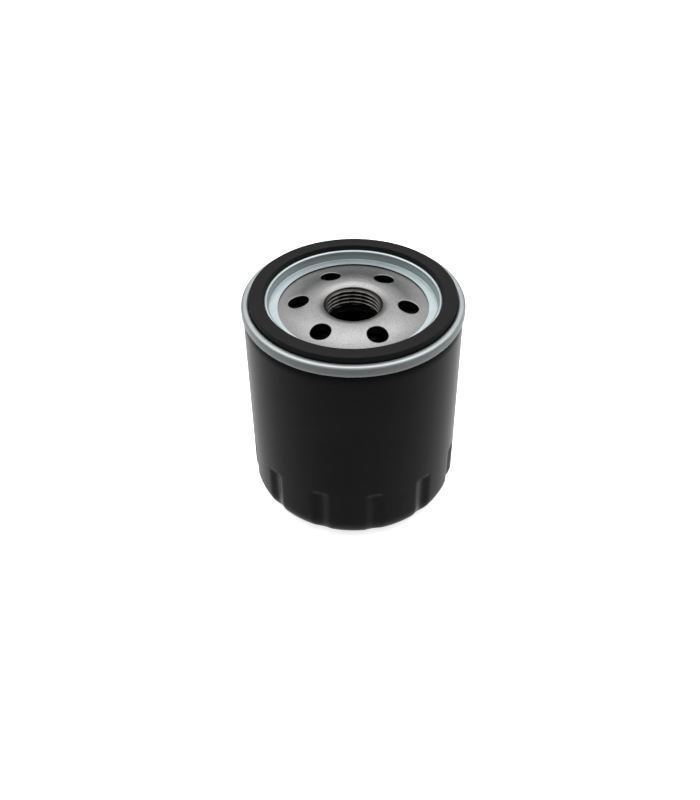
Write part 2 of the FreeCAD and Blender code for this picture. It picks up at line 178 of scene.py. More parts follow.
def corner_arc(before, at, after, radius):
    """Points that round one corner of a section."""
    before, at, after = Vector(before[:2]), Vector(at[:2]), Vector(after[:2])
    if radius <= 0:
        return [tuple(at)]
    back, ahead = (before - at).normalized(), (after - at).normalized()
    half = back.angle(ahead) / 2
    start = at + back * (radius / math.tan(half))
    centre = at + (back + ahead).normalized() * (radius / math.sin(half))
    sweep = math.pi - 2 * half
    turn = math.copysign(sweep, back.y * ahead.x - back.x * ahead.y)
    steps = max(2, math.ceil(sweep / (2 * math.acos(1 - min(ARC_SAG / radius, 0.03)))))
    arm = start - centre
    points = []
    for i in range(steps + 1):
        c, s = math.cos(turn * i / steps), math.sin(turn * i / steps)
        points.append((centre.x + c * arm.x - s * arm.y, centre.y + s * arm.x + c * arm.y))
    return points


def rounded(points, closed=True):
    """Section through (r, z[, corner radius]) points, with its corners rounded."""
    result = []
    for i, point in enumerate(points):
        radius = point[2] if len(point) > 2 else 0
        if not closed and i in (0, len(points) - 1):
            radius = 0
        for spot in corner_arc(points[i - 1], point, points[(i + 1) % len(points)], radius):
            if not result or math.dist(spot, result[-1]) > SAME_SPOT:
                result.append(spot)
    return result


def sheet_sides(path, thickness):
    """Both faces of a bent sheet whose middle line is given as (r, z[, bend radius]) points."""
    half = thickness / 2
    heads = [(Vector(b[:2]) - Vector(a[:2])).normalized() for a, b in zip(path, path[1:])]
    left, right = [], []
    for i, point in enumerate(path):
        before, after = heads[max(i - 1, 0)], heads[min(i, len(heads) - 1)]
        share = 1 + before.dot(after)
        side = Vector((-(before.y + after.y), before.x + after.x)) * (half / share)
        turn = before.x * after.y - before.y * after.x
        bend = point[2] if len(point) > 2 else 0
        swell = math.copysign(half, turn) if bend else 0
        left.append((point[0] + side.x, point[1] + side.y, bend - swell))
        right.append((point[0] - side.x, point[1] - side.y, bend + swell))
    return rounded(left, closed=False), rounded(right, closed=False)


def sheet(path, thickness):
    """Closed section of a bent sheet."""
    left, right = sheet_sides(path, thickness)
    return left + right[::-1]


# ---------------------------------------------------------------------------------------------
# Meshes

class Mesh:
    """Vertices and faces collected in millimetres."""

    def __init__(self):
        self.points = []
        self.faces = []

    def add(self, points):
        first = len(self.points)
        self.points.extend(tuple(point) for point in points)
        return list(range(first, len(self.points)))

    def bridge(self, one, other):
        """Faces between two rings of vertices; a ring of one vertex is a pole."""
        count = max(len(one), len(other))
        for i in range(count):
            j = (i + 1) % count
            ring = [one[i % len(one)], one[j % len(one)],
                    other[j % len(other)], other[i % len(other)]]
            face = []
            for vertex in ring:
                if vertex not in face:
                    face.append(vertex)
            self.faces.append(face)

    def build(self, name, smooth_to=SMOOTH_TO):
        data = bpy.data.meshes.new(name)
        data.from_pydata([tuple(c * MM for c in point) for point in self.points], [], self.faces)
        data.validate()
        bm = bmesh.new()
        bm.from_mesh(data)
        bmesh.ops.recalc_face_normals(bm, faces=bm.faces)
        bm.to_mesh(data)
        bm.free()
        data.shade_smooth()
        data.set_sharp_from_angle(angle=math.radians(smooth_to))
        piece = bpy.data.objects.new(name, data)
        bpy.context.scene.collection.objects.link(piece)
        return piece


def circle(radius, height, steps, start=0.0):
    """One ring of points."""
    turns = [start + 2 * math.pi * i / steps for i in range(steps)]
    return [(radius * math.cos(t), radius * math.sin(t), height) for t in turns]


def turned(name, section, steps):
    """Piece made by turning a closed section round the axis."""
    mesh = Mesh()
    rows = [mesh.add(circle(r, z, steps)) for r, z in section]
    for one, other in zip(rows, rows[1:] + rows[:1]):
        mesh.bridge(one, other)
    return mesh.build(name)


# ---------------------------------------------------------------------------------------------
# Materials

TINT_INSIDE = 30.5              # radii between which the zinc's tint changes, by the gasket
TINT_OUTSIDE = 34.0
FLANGE_SHADE_START = 20.0              # radius where the plate's painted shade towards its flange begins


class Paint:
    """A material's node tree, with short calls for the nodes that the finishes share."""

    def __init__(self, name, colour, roughness, metallic=0.0, specular=0.5):
        self.material = bpy.data.materials.new(name)
        self.material.use_nodes = True
        self.tree = self.material.node_tree
        self.shader = self.tree.nodes["Principled BSDF"]
        self.shader.inputs["Base Color"].default_value = (*colour, 1)
        self.shader.inputs["Roughness"].default_value = roughness
        self.shader.inputs["Metallic"].default_value = metallic
        self.shader.inputs["Specular IOR Level"].default_value = specular
        self.coordinates = self.tree.nodes.new("ShaderNodeTexCoord").outputs
        self.place = self.coordinates["Object"]

    def link(self, source, target):
        self.tree.links.new(source, target)

    def stretched(self, x, y, z):
        """Object coordinates scaled on each axis, for grain that runs one way."""
        node = self.tree.nodes.new("ShaderNodeMapping")
        node.inputs["Scale"].default_value = (x, y, z)
        self.link(self.place, node.inputs["Vector"])
        return node.outputs["Vector"]

    def axes(self, source):
        """X, Y and Z of a vector."""
        node = self.tree.nodes.new("ShaderNodeSeparateXYZ")
        self.link(source, node.inputs[0])
        return [node.outputs[axis] for axis in "XYZ"]

    def polar(self, around, radius, up):
        """Coordinates along the turn, the radius and the axis, for marks left by turning."""
        x, y, z = self.axes(self.place)
        node = self.tree.nodes.new("ShaderNodeCombineXYZ")
        for socket, value, scale in zip(node.inputs,
                                        (self.math("ARCTAN2", y, x), self.reach(), z),
                                        (around, radius * MM, up)):
            self.link(self.math("MULTIPLY", value, scale), socket)
        return node.outputs[0]

    def math(self, operation, one, other):
        node = self.tree.nodes.new("ShaderNodeMath")
        node.operation = operation
        for socket, value in zip(node.inputs, (one, other)):
            if isinstance(value, (int, float)):
                socket.default_value = value
            else:
                self.link(value, socket)
        return node.outputs[0]

    def weighed(self, one, share, other):
        """Sum of two signals; share is the weight of the first."""
        return self.math("ADD", self.math("MULTIPLY", one, share),
                         self.math("MULTIPLY", other, 1 - share))

    def noise(self, size, detail=3.0, place=None, rough=0.5):
        """Noise whose lumps are about size millimetres."""
        node = self.tree.nodes.new("ShaderNodeTexNoise")
        node.inputs["Scale"].default_value = 1 / (size * MM)
        node.inputs["Detail"].default_value = detail
        node.inputs["Roughness"].default_value = rough
        self.link(place or self.place, node.inputs["Vector"])
        return node.outputs["Fac"]

    def spread(self, source, low, high, start=0.3, end=0.7):
        """Maps a 0 to 1 signal onto a range of values."""
        node = self.tree.nodes.new("ShaderNodeMapRange")
        node.inputs["From Min"].default_value = start
        node.inputs["From Max"].default_value = end
        node.inputs["To Min"].default_value = low
        node.inputs["To Max"].default_value = high
        self.link(source, node.inputs["Value"])
        return node.outputs["Result"]

    def tint(self, source, dark, light, start=0.3, end=0.7):
        """Colour that runs from dark to light with a signal."""
        node = self.tree.nodes.new("ShaderNodeValToRGB")
        node.color_ramp.elements[0].position = start
        node.color_ramp.elements[1].position = end
        node.color_ramp.elements[0].color = (*dark, 1)
        node.color_ramp.elements[1].color = (*light, 1)
        self.link(source, node.inputs["Fac"])
        return node.outputs["Color"]

    def reach(self):
        """Distance from the filter's axis, in millimetres."""
        flat = self.tree.nodes.new("ShaderNodeVectorMath")
        flat.operation = "MULTIPLY"
        flat.inputs[1].default_value = (1 / MM, 1 / MM, 0)
        self.link(self.place, flat.inputs[0])
        length = self.tree.nodes.new("ShaderNodeVectorMath")
        length.operation = "LENGTH"
        self.link(flat.outputs["Vector"], length.inputs[0])
        return length.outputs["Value"]

    def height(self):
        """Height above the can's closed end, in millimetres."""
        return self.math("MULTIPLY", self.axes(self.place)[2], 1 / MM)

    def upright(self):
        """1 on faces that stand parallel to the axis, 0 on flat ones."""
        level = self.axes(self.coordinates["Normal"])[2]
        return self.spread(self.math("ABSOLUTE", level, 0.0), 1.0, 0.0, 0.25, 0.6)

    def mix(self, share, one, other):
        """Blend of two colours; share 0 gives the first."""
        node = self.tree.nodes.new("ShaderNodeMix")
        node.data_type = "RGBA"
        self.link(share, node.inputs["Factor"])
        for socket, colour in ((node.inputs[6], one), (node.inputs[7], other)):
            if isinstance(colour, tuple):
                socket.default_value = (*colour, 1)
            else:
                self.link(colour, socket)
        return node.outputs[2]

    def bump(self, *layers):
        """Stacks (signal, height in millimetres) layers into the shader's normal."""
        below = None
        for signal, height in layers:
            node = self.tree.nodes.new("ShaderNodeBump")
            node.inputs["Distance"].default_value = height * MM
            node.inputs["Strength"].default_value = 1.0
            self.link(signal, node.inputs["Height"])
            if below is not None:
                self.link(below, node.inputs["Normal"])
            below = node.outputs["Normal"]
        self.link(below, self.shader.inputs["Normal"])

    def set(self, socket, source):
        self.link(source, self.shader.inputs[socket])


def can_paint():
    """Satin black, with less sheen towards the floor and under the seam."""
    paint = Paint("satin_black_paint", (0.0032, 0.0032, 0.0033), 0.26)
    peel = paint.noise(2.6, 0.0)
    drawn = paint.noise(2.0, 3.0, paint.stretched(1, 1, 0.03))
    cloud = paint.noise(14.0, 2.0)
    paint.set("Base Color", paint.tint(cloud, (0.0028, 0.0028, 0.003), (0.0038, 0.0038, 0.004)))
    paint.set("Roughness", paint.spread(paint.weighed(cloud, 0.6, drawn), 0.24, 0.27))
    foot = paint.spread(paint.height(), 0.1, 0.5, 1.0, 9.0)
    shoulder = paint.spread(paint.height(), 0.5, 0.1, SEAM_BOTTOM - 3.6, SEAM_BOTTOM - 0.8)
    paint.set("Specular IOR Level", paint.math("MINIMUM", foot, shoulder))
    paint.bump((peel, 0.0004))
    return paint.material


def zinc():
    """Zinc plating: bluish inside the gasket, with painted shade on its upright walls and a near-black painted
    shade on the sheared edge of its hole.
    """
    paint = Paint("zinc_plating", (0.62, 0.67, 0.69), 0.3, metallic=0.88)
    cloud = paint.noise(6.0, 3.0)
    fine = paint.noise(0.35, 4.0)
    worked = paint.noise(1.0, 4.0, paint.polar(0.2, 1.0, 6.0))
    inside = paint.tint(cloud, (0.75, 0.87, 0.9), (0.835, 0.94, 0.965))
    outside = paint.tint(cloud, (0.6, 0.65, 0.66), (0.68, 0.73, 0.735))
    rim = paint.spread(paint.reach(), 0.0, 1.0, TINT_INSIDE, TINT_OUTSIDE)
    flat = paint.mix(rim, inside, outside)
    # Painted shade: upright faces take a darker grey than the flat ones.
    bright = paint.mix(paint.upright(), flat, (0.41, 0.447, 0.45))
    # Painted shade: the upright cut edge round the hole is near black.
    edge = paint.spread(paint.reach(), 1.0, 0.0, RETAINER_HOLE + 0.02, RETAINER_HOLE + 0.1)
    edge_shade = paint.math("MULTIPLY", paint.upright(), edge)
    paint.set("Base Color", paint.mix(edge_shade, bright, (0.07, 0.07, 0.075)))
    paint.set("Roughness", paint.spread(paint.weighed(cloud, 0.5, fine), 0.30, 0.38))
    paint.bump((worked, 0.001), (fine, 0.001))
    return paint.material


def plate_steel():
    """Pickled steel, grained, with painted shade darkening it towards the flange, inside the bore (darkest in the
    thread roots) and on its upright faces.
    """
    paint = Paint("pickled_steel", (0.55, 0.55, 0.545), 0.4, metallic=1.0)
    grain = paint.noise(0.22, 4.0, rough=0.7)
    cloud = paint.noise(5.0, 4.0)
    speck = paint.noise(0.5, 2.0, rough=0.8)
    bright = paint.tint(paint.weighed(speck, 0.8, cloud),
                        (0.42, 0.418, 0.416), (0.68, 0.68, 0.678))
    tapped = paint.spread(paint.reach(), 1.0, 0.0, THREAD_RIM + 0.03, THREAD_RIM + 0.2)
    # Painted shade: upright faces outside the bore, the inlet holes' walls among them, are near black.
    upright_shade = paint.math("MULTIPLY", paint.upright(), paint.math("SUBTRACT", 1.0, tapped))
    # Painted shade inside the bore: darker steel there, darkest in the thread roots.
    crest = paint.spread(paint.reach(), 0.4, 0.05, THREAD_MINOR + 0.05, THREAD_MINOR + 0.3)
    thread = paint.tint(crest, (0.05, 0.048, 0.045), (0.42, 0.4, 0.38), 0.0, 0.4)
    # Painted shade: the plate darkens towards the flange, under the rib and the gasket.
    flange_shade = paint.spread(paint.reach(), 0.0, 0.25, FLANGE_SHADE_START, RETAINER_HOLE)
    shaded_plate = paint.mix(tapped, paint.mix(flange_shade, bright, (0.26, 0.26, 0.26)), thread)
    paint.set("Base Color", paint.mix(upright_shade, shaded_plate, (0.05, 0.05, 0.05)))
    paint.set("Roughness", paint.math("SUBTRACT", paint.spread(grain, 0.31, 0.41),
                                      paint.math("MULTIPLY", tapped, 0.08)))
    paint.bump((cloud, 0.0015), (speck, 0.022), (grain, 0.006))
    return paint.material


def rubber(name, tone, roughness, specular=0.5):
    paint = Paint(name, (tone, tone * 1.02, tone * 1.05), roughness, specular=specular)
    fine = paint.noise(0.18, 3.0)
    cloud = paint.noise(7.0, 3.0)
    dark, light = tone * 0.85, tone * 1.15
    paint.set("Base Color", paint.tint(cloud, (dark, dark, dark * 1.04),
                                       (light, light, light * 1.04)))
    paint.set("Roughness", paint.spread(cloud, roughness - 0.05, roughness + 0.05))
    paint.bump((cloud, 0.006), (fine, 0.003))
    return paint.material


def tinned_steel():
    paint = Paint("tinned_steel", (0.6, 0.59, 0.56), 0.3, metallic=1.0)
    cloud = paint.noise(4.0, 3.0)
    fine = paint.noise(0.3, 3.0)
    paint.set("Base Color", paint.tint(cloud, (0.54, 0.53, 0.5), (0.66, 0.65, 0.62)))
    paint.set("Roughness", paint.spread(fine, 0.24, 0.38))
    paint.bump((fine, 0.0015))
    return paint.material


def tube_steel():
    # Near-black steel: painted shade for the inside of the bore, where the tube shows.
    paint = Paint("tube_steel", (0.03, 0.029, 0.028), 0.5, metallic=1.0)
    cloud = paint.noise(3.0, 3.0)
    paint.set("Base Color", paint.tint(cloud, (0.022, 0.021, 0.02), (0.04, 0.039, 0.038)))
    paint.set("Roughness", paint.spread(cloud, 0.4, 0.55))
    paint.bump((paint.noise(0.3, 3.0), 0.002))
    return paint.material


def spring_steel():
    paint = Paint("spring_steel", (0.3, 0.29, 0.28), 0.32, metallic=1.0)
    cloud = paint.noise(2.0, 3.0)
    paint.set("Base Color", paint.tint(cloud, (0.24, 0.225, 0.21), (0.36, 0.35, 0.345)))
    paint.set("Roughness", paint.spread(cloud, 0.26, 0.4))
    paint.bump((paint.noise(0.3, 3.0), 0.002))
    return paint.material


def filter_paper():
    paint = Paint("filter_paper", (0.72, 0.5, 0.24), 0.85, specular=0.2)
    fibre = paint.noise(0.5, 5.0, paint.stretched(1, 1, 0.35), rough=0.65)
    cloud = paint.noise(5.0, 3.0)
    paint.set("Base Color", paint.tint(paint.weighed(fibre, 0.6, cloud),
                                       (0.6, 0.38, 0.16), (0.8, 0.6, 0.33)))
    paint.bump((fibre, 0.03))
    return paint.material


def cured_bead(name, dark, light):
    paint = Paint(name, light, 0.6, specular=0.35)
    cloud = paint.noise(2.5, 3.0)
    paint.set("Base Color", paint.tint(cloud, dark, light))
    paint.set("Roughness", paint.spread(cloud, 0.5, 0.7))
    paint.bump((cloud, 0.05))
    return paint.material


FINISHES = {
    "can_paint": can_paint(),
    "zinc_plating": zinc(),
    "plate_steel": plate_steel(),
    "gasket_rubber": rubber("gasket_rubber", 0.003, 0.58, 0.38),
    "valve_rubber": rubber("valve_rubber", 0.02, 0.22),
    "tinned_steel": tinned_steel(),
    "tube_steel": tube_steel(),
    "spring_steel": spring_steel(),
    "filter_paper": filter_paper(),
    "cured_adhesive": cured_bead("cured_adhesive", (0.42, 0.36, 0.28), (0.6, 0.54, 0.45)),
    "sealant": cured_bead("seam_sealant", (0.32, 0.07, 0.045), (0.5, 0.13, 0.09)),
}

SLOTS = {part["node"]: part["material_slot"] for part in frame["record"]["subparts"]}


def stand_for(piece, node, body=None):
    """The piece takes a CAD node's place, with that node's finish, and rides on a body."""
    slot = SLOTS[node]
    piece.data.materials.clear()
    piece.data.materials.append(FINISHES[slot])
    if body:
        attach(piece, body)
    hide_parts(node)
    return piece


# ---------------------------------------------------------------------------------------------
# Pieces

def flute_share(offset, height):
    """How fully a flute is pressed in, from 0 to 1, beside its middle and at a height."""
    aside = min(abs(offset) / FLUTE_MOUTH, 1.0)
    above = min(max(height - FLUTE_TOP, 0.0) / FLUTE_RUNOUT, 1.0)
    return (0.5 + 0.5 * math.cos(math.pi * aside)) * (0.5 + 0.5 * math.cos(math.pi * above))


def can_columns():
    """Angles round the can and the distance of each from the middle of its flute."""
    half_pitch = math.pi * CAN_RADIUS / FLUTE_COUNT
    side = [FLUTE_COLUMN * i for i in range(1, FLUTE_COLUMNS + 1)] + list(LAND_COLUMNS)
    offsets = [-o for o in reversed(side)] + [0.0] + side + [half_pitch]
    columns = []
    for flute in range(FLUTE_COUNT):
        middle = math.radians(FLUTE_START) + 2 * math.pi * flute / FLUTE_COUNT
        columns += [(middle + offset / CAN_RADIUS, offset) for offset in offsets]
    return columns


def can_shell():
    """The drawn can: closed end, corner, fluted wall and the rim folded in under the lid."""
    half = CAN_SHEET / 2
    wall = CAN_RADIUS - half
    fold = CAN_TOP - half
    groove = SEAM_BOTTOM + RETAINER_SHEET / 2
    path = [
        (0, PANEL_RISE + half),
        (PANEL_RADIUS, PANEL_RISE + half, 1.2),
        (FOOT_RADIUS, half, 1.2),
        (wall, half, CAN_CORNER - half),
        (wall, groove - CRIMP_RUN, 15.0),
        (wall - CRIMP_DEPTH, groove - CRIMP_FLAT, 0.4),
        (wall - CRIMP_DEPTH, groove + CRIMP_FLAT, 0.4),
        (wall, groove + HEM_RISE, 0.4),
        (wall, fold, RIM_FOLD / 2),
        (wall - RIM_FOLD, fold, RIM_FOLD / 2),
        (wall - RIM_FOLD, fold - RIM_LENGTH),
    ]
    inner, outer = sheet_sides(path, CAN_SHEET)
    levels = [CAN_CORNER + CORNER_ROW * i for i in range(1, 4)]
    levels += [FLUTE_TOP - RUNOUT_ROW + RUNOUT_ROW * i for i in range(RUNOUT_ROWS)] + WALL_ROWS
    rows = []
    for side in (outer, inner[::-1]):
        for (r, z), (_, beyond) in zip(side, side[1:] + side[-1:]):
            rows.append((r, z))
            if abs(beyond - z) > WALL_SPAN:
                rows += [(r, level) for level in sorted(levels, reverse=beyond < z)]
    mesh = Mesh()
    columns = can_columns()
    rings = []
    for r, z in rows:
        if r < SAME_SPOT:
            rings.append(mesh.add([(0.0, 0.0, z)]))
            continue
        turn = 0.0
        if z < CAN_CORNER:
            turn = math.atan2(CAN_CORNER - z, max(r - CAN_RADIUS + CAN_CORNER, 0.0) + 1e-9)
        fade = max(1.0 - turn / FLUTE_FADE, 0.0)
        depth = FLUTE_DEPTH * fade * fade * (3.0 - 2.0 * fade) if r > FOOT_RADIUS + 1 else 0.0
        ring = []
        for angle, offset in columns:
            press = depth * flute_share(offset, z)
            radius = r - press * math.cos(turn)
            ring.append((radius * math.cos(angle), radius * math.sin(angle),
                         z + press * math.sin(turn)))
        rings.append(mesh.add(ring))
    for one, other in zip(rings, rings[1:]):
        mesh.bridge(one, other)
    return mesh.build("can_shell", SMOOTH_PRESSED)


def retainer():
    """Zinc-plated lid, from its flange on the plate to the edge of the seam."""
    half = RETAINER_SHEET / 2
    floor = PLATE_TOP + half
    outer = SEAM_RADIUS - half
    path = [
        (RETAINER_HOLE, floor),
        (RIB_RADIUS - RIB_WIDTH / 2, floor, 0.5),
        (RIB_RADIUS - RIB_WIDTH / 2, RIB_TOP - half, 0.47),
        (RIB_RADIUS + RIB_WIDTH / 2, RIB_TOP - half, 0.47),
        (RIB_RADIUS + RIB_WIDTH / 2, floor, 0.4),
        (WALL_RADIUS, floor, 0.4),
        (WALL_RADIUS, SEAM_TOP - half, 0.6),
        (outer, SEAM_TOP - half, 0.9),
        (outer, SEAM_BOTTOM + HEM_RISE, 2.0),
        (outer - CRIMP_DEPTH, SEAM_BOTTOM + 0.2),
    ]
    return turned("retainer", sheet(path, RETAINER_SHEET), FINE_STEPS)


def thread_radius(angle, height):
    """Wall of the M20 x 1.5 internal thread, opened by a chamfer at each end."""
    phase = (height / THREAD_PITCH - angle / (2 * math.pi)) % 1.0
    across = abs(phase - 0.5) * 2
    flank = min(max((THREAD_CREST - across) / (THREAD_CREST - THREAD_ROOT), 0.0), 1.0)
    wall = THREAD_MINOR + (THREAD_MAJOR - THREAD_MINOR) * flank
    mouth = THREAD_MINOR + ((height - THREAD_TOP) * (THREAD_RIM - THREAD_MINOR)
                            / (BORE_RIM - THREAD_TOP))
    tail = THREAD_MINOR + (THREAD_BOTTOM - height)
    return max(wall, mouth, tail)


def height_on(section, radius):
    """Height of a section's line at a radius."""
    for (r0, z0), (r1, z1) in zip(section, section[1:]):
        if min(r0, r1) <= radius <= max(r0, r1) and abs(r1 - r0) > 1e-9:
            return z0 + (z1 - z0) * (radius - r0) / (r1 - r0)
    return section[-1][1]


def hole_ring(mesh, border, centre, section, radius_at, drop=0.0):
    """Ring of vertices round an inlet hole, one beside each vertex of its patch's border."""
    cx, cy = centre
    ring = []
    for vertex in border:
        x, y, _ = mesh.points[vertex]
        reach = math.hypot(x - cx, y - cy)
        r = radius_at(reach)
        px, py = cx + (x - cx) / reach * r, cy + (y - cy) / reach * r
        ring.append((px, py, height_on(section, math.hypot(px, py)) - drop))
    return mesh.add(ring)


def plate():
    """Domed tapping plate with its threaded collar and punched inlet holes."""
    mesh = Mesh()
    start = math.radians(INLET_START)
    near = INLET_CIRCLE - INLET_RADIUS - INLET_LAND
    far = INLET_CIRCLE + INLET_RADIUS + INLET_LAND
    top = rounded([(THREAD_RIM, BORE_RIM), (HUB_CORNER, HUB_TOP, HUB_ROUND),
                   (SWELL_CORNER, HUB_TOP, PLATE_SWELL), (DISH_CORNER, PLATE_TOP, PLATE_DISH),
                   (PLATE_RADIUS, PLATE_TOP, 0.5), (PLATE_RADIUS, PLATE_UNDER, 0.5),
                   (PLATE_JOIN, PLATE_UNDER)], closed=False)
    under_hub = HUB_TOP - PLATE_THICK
    under = rounded([(PLATE_JOIN, PLATE_UNDER),
                     (DISH_CORNER + 0.4, PLATE_UNDER, PLATE_DISH - PLATE_THICK),
                     (SWELL_CORNER + 0.4, under_hub, PLATE_SWELL - PLATE_THICK),
                     (COLLAR_RADIUS, under_hub, 1.2),
                     (COLLAR_RADIUS, COLLAR_END + COLLAR_CHAMFER),
                     (COLLAR_RADIUS - COLLAR_CHAMFER, COLLAR_END),
                     (THREAD_MINOR + 0.7, COLLAR_END)], closed=False)

    def rings(section):
        return [mesh.add(circle(r, z, TURN_STEPS, start)) for r, z in section]

    hub_rows = rings([point for point in top if point[0] < near] + [(near, height_on(top, near))])
    rim_rows = rings([(far, height_on(top, far))] + [point for point in top if point[0] > far]
                     + [point for point in under if far < point[0] < PLATE_JOIN]
                     + [(far, height_on(under, far))])
    collar_rows = rings([(near, height_on(under, near))] + [p for p in under if p[0] < near])
    thread_rows = []
    count = round((BORE_RIM - COLLAR_END) / (THREAD_PITCH / THREAD_ROWS))
    for row in range(1, count):
        z = COLLAR_END + (BORE_RIM - COLLAR_END) * row / count
        ring = []
        for i in range(TURN_STEPS):
            angle = start + 2 * math.pi * i / TURN_STEPS
            r = thread_radius(angle, z)
            ring.append((r * math.cos(angle), r * math.sin(angle), z))
        thread_rows.append(mesh.add(ring))
    for block in (hub_rows, rim_rows, collar_rows + thread_rows + hub_rows[:1]):
        for one, other in zip(block, block[1:]):
            mesh.bridge(one, other)

    sector = TURN_STEPS // INLET_COUNT
    faces = ((hub_rows[-1], rim_rows[0], top, 1), (collar_rows[0], rim_rows[-1], under, -1))
    edges = []
    for inner, outer, section, up in faces:
        spokes = []
        for k in range(INLET_COUNT):
            angle = start + math.pi / INLET_COUNT + 2 * math.pi * k / INLET_COUNT
            radii = [near + (far - near) * i / (SPOKE_STEPS + 1)
                     for i in range(1, SPOKE_STEPS + 1)]
            spokes.append(mesh.add([(r * math.cos(angle), r * math.sin(angle),
                                     height_on(section, r)) for r in radii]))
        loops = []
        for k in range(INLET_COUNT):
            ids = [(k * sector - sector // 2 + i) % TURN_STEPS for i in range(sector + 1)]
            border = [inner[i] for i in ids] + spokes[k]
            border += [outer[i] for i in reversed(ids)] + spokes[k - 1][::-1]
            middle = start + 2 * math.pi * k / INLET_COUNT
            centre = INLET_CIRCLE * math.cos(middle), INLET_CIRCLE * math.sin(middle)
            rows = [border]
            edge = EDGE_TOP if up > 0 else EDGE_UNDER
            for step in range(1, PATCH_STEPS + 1):
                share = step / PATCH_STEPS
                rows.append(hole_ring(
                    mesh, border, centre, section,
                    lambda reach: reach + (INLET_RADIUS + edge - reach) * share))
            for step in range(1, EDGE_STEPS + 1):
                sweep = math.pi / 2 * step / EDGE_STEPS
                rows.append(hole_ring(
                    mesh, border, centre, section,
                    lambda reach: INLET_RADIUS + edge * (1 - math.sin(sweep)),
                    up * edge * (1 - math.cos(sweep))))
            for one, other in zip(rows, rows[1:]):
                mesh.bridge(one, other)
            loops.append(rows[-1])
        edges.append(loops)
    for upper, lower in zip(*edges):
        mesh.bridge(upper, lower)
    return mesh.build("tapping_plate")


def gasket():
    """Square-cut sealing ring."""
    section = rounded([(GASKET_IN, GASKET_SEAT, GASKET_EDGE),
                       (GASKET_OUT, GASKET_SEAT, GASKET_EDGE),
                       (GASKET_OUT, HEIGHT, GASKET_EDGE), (GASKET_IN, HEIGHT, GASKET_EDGE)])
    return turned("gasket", section, FINE_STEPS)


def skirt():
    """Skirt of the anti-drainback valve, which flexes in use; its root grows out of the sleeve."""
    lip = node_box("drainback_skirt")[1].z
    out = node_box("drainback_skirt")[1].y
    half = SKIRT_THICK / 2
    section = rounded([(SKIRT_ROOT, SKIRT_ROOT_Z - half, 0.1), (out - 1.2, lip - 1.2, 3.0),
                       (out, lip - 0.6, 0.3), (out, lip, 0.25), (out - 1.8, lip, 0.5),
                       (SKIRT_ROOT, SKIRT_ROOT_Z + half, 0.1)])
    fine = []
    for (r, z), (r_next, z_next) in zip(section, section[1:] + section[:1]):
        steps = max(1, round(math.hypot(r_next - r, z_next - z) / SKIRT_STEP))
        fine += [(r + (r_next - r) * i / steps, z + (z_next - z) * i / steps)
                 for i in range(steps)]
    return turned("drainback_flap", fine, TURN_STEPS)


def coil():
    """Compression spring of the bypass valve, with its end turns closed up."""
    low, high = node_box("bypass_spring")
    mesh = Mesh()
    bottom, top = low.z + COIL_WIRE, high.z - COIL_WIRE
    steps = round(COIL_TURNS * COIL_STEPS)
    dead = 2 * COIL_WIRE / (top - bottom)
    dead_rise = COIL_DEAD_TURN * dead
    rows = []
    for step in range(steps + 1):
        turn = COIL_TURNS * step / steps
        lower = min(turn, COIL_DEAD_TURN) * dead
        upper = dead_rise - min(COIL_TURNS - turn, COIL_DEAD_TURN) * dead
        free = min(max((turn - COIL_DEAD_TURN) / (COIL_TURNS - 2 * COIL_DEAD_TURN), 0.0), 1.0)
        share = lower + (1 - 2 * dead_rise) * free + upper
        z = bottom + (top - bottom) * share
        angle = 2 * math.pi * turn
        ring = []
        for i in range(COIL_SIDES):
            a = 2 * math.pi * i / COIL_SIDES
            r = COIL_RADIUS + COIL_WIRE * math.cos(a)
            ring.append((r * math.cos(angle), r * math.sin(angle), z + COIL_WIRE * math.sin(a)))
        rows.append(mesh.add(ring))
    for one, other in zip(rows, rows[1:]):
        mesh.bridge(one, other)
    mesh.faces += [rows[0][::-1], rows[-1]]
    return mesh.build("bypass_coil", SMOOTH_PRESSED)


def leaf_spring():
    """Spring under the element: a pressed ring on sprung legs, copied from the CAD node."""
    piece = bpy.data.objects.new("element_spring", frame["nodes"]["support_spring"].data.copy())
    bpy.context.scene.collection.objects.link(piece)
    piece.matrix_world = frame["nodes"]["support_spring"].matrix_world.copy()
    return piece


stand_for(can_shell(), "housing_can", "housing")
stand_for(retainer(), "gasket_retainer", "housing")
stand_for(plate(), "base_plate", "housing")
stand_for(gasket(), "sealing_gasket", "housing")

flap = stand_for(skirt(), "drainback_skirt")
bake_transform(flap)

# The coil is held at its top by the cage, the leaf spring at its foot by the can.
SPRINGS = {"bypass_lift": (coil, "bypass_spring", "element", "top"),
           "element_float": (leaf_spring, "support_spring", "housing", "foot")}

for joint in frame["joints"]:
    if joint["name"] in SPRINGS:
        make, node, body, held = SPRINGS[joint["name"]]
        spring = stand_for(make(), node, body)
        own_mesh(spring)

for node, thing in frame["nodes"].items():
    if not thing.hide_render:
        thing.data.materials.clear()
        thing.data.materials.append(FINISHES[SLOTS[node]])

# ---------------------------------------------------------------------------------------------
# Studio

# Camera, fitted to the photo: metres behind the axis and above the gasket, and radians.
CAMERA_BACK = 0.27266
CAMERA_RISE = 0.18696
CAMERA_PITCH = 0.711
CAMERA_YAW = -0.0049
CAMERA_ROLL = -0.007
FOCAL_PIXELS = 967.5
SENSOR = 36.0
LONG_SIDE = 800                 # pixels along the photo's longer side

FLOOR_REACH = 3.0
FLOOR_GLOW = 0.8
SCREEN_RADIUS = 2.8
SCREEN_TOP = 2.5
SCREEN_SIDES = 64
SCREEN_GLOW = 1.0

